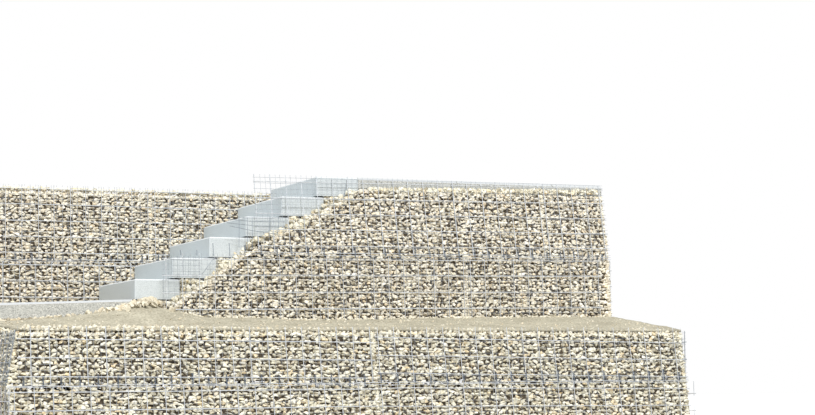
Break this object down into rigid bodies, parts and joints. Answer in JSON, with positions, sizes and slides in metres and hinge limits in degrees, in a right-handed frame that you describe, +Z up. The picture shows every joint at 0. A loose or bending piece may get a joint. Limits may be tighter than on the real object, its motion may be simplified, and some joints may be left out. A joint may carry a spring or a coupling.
{
  "type": "gabion wall",
  "caption": "Terraced gabion wall of welded mesh baskets filled with angular gravel, with a flight of block steps between its upper tiers and kerb stones along the path and landing.",
  "frame": {"origin": "bottom centre of the whole wall, on the ground", "axes": "+X along the wall, to the right seen from the front; +Y from the front face to the back; +Z up"},
  "size_m": [6.085, 3.6895, 2.638],
  "materials": {
    "mesh_wire": "hot-dip galvanised, dull blue-grey",
    "gravel": "broken angular limestone gravel, cream to ochre",
    "step_stone": "fine grey block, flamed ends and sawn risers",
    "kerb_concrete": "exposed-aggregate concrete with a smooth top edge",
    "sand": "loose tan crusher sand",
    "grit": "compacted grit bed"
  },
  "bodies": {
    "root": {"back_base_stones_left": "gravel", "back_base_stones_right": "gravel", "back_top_stones_left": "gravel", "back_top_stones_right": "gravel", "landing_bed": "grit", "lower_base_mesh_left": "mesh_wire", "lower_base_mesh_right": "mesh_wire", "lower_base_stones_left": "gravel", "lower_base_stones_right": "gravel", "lower_top_mesh_left": "mesh_wire", "lower_top_mesh_right": "mesh_wire", "lower_top_stones_left": "gravel", "lower_top_stones_right": "gravel", "path_bed": "grit", "path_kerb": "kerb_concrete", "path_sand": "sand", "rear_base_mesh": "mesh_wire", "rear_base_stones_left": "gravel", "rear_base_stones_right": "gravel", "rear_top_mesh_left": "mesh_wire", "rear_top_mesh_right": "mesh_wire", "rear_top_stones_left": "gravel", "rear_top_stones_right": "gravel", "step_1": "step_stone", "step_2": "step_stone", "step_3": "step_stone", "step_4": "step_stone", "step_5": "step_stone", "step_6": "step_stone", "terrace_sand": "sand", "top_kerb_1": "kerb_concrete", "top_kerb_2": "kerb_concrete", "top_kerb_3": "kerb_concrete", "upper_base_mesh_left": "mesh_wire", "upper_base_mesh_right": "mesh_wire", "upper_base_stones_left": "gravel", "upper_base_stones_right": "gravel", "upper_top_mesh_left": "mesh_wire", "upper_top_mesh_right": "mesh_wire", "upper_top_stones_left": "gravel", "upper_top_stones_right": "gravel"}
  },
  "joints": []
}
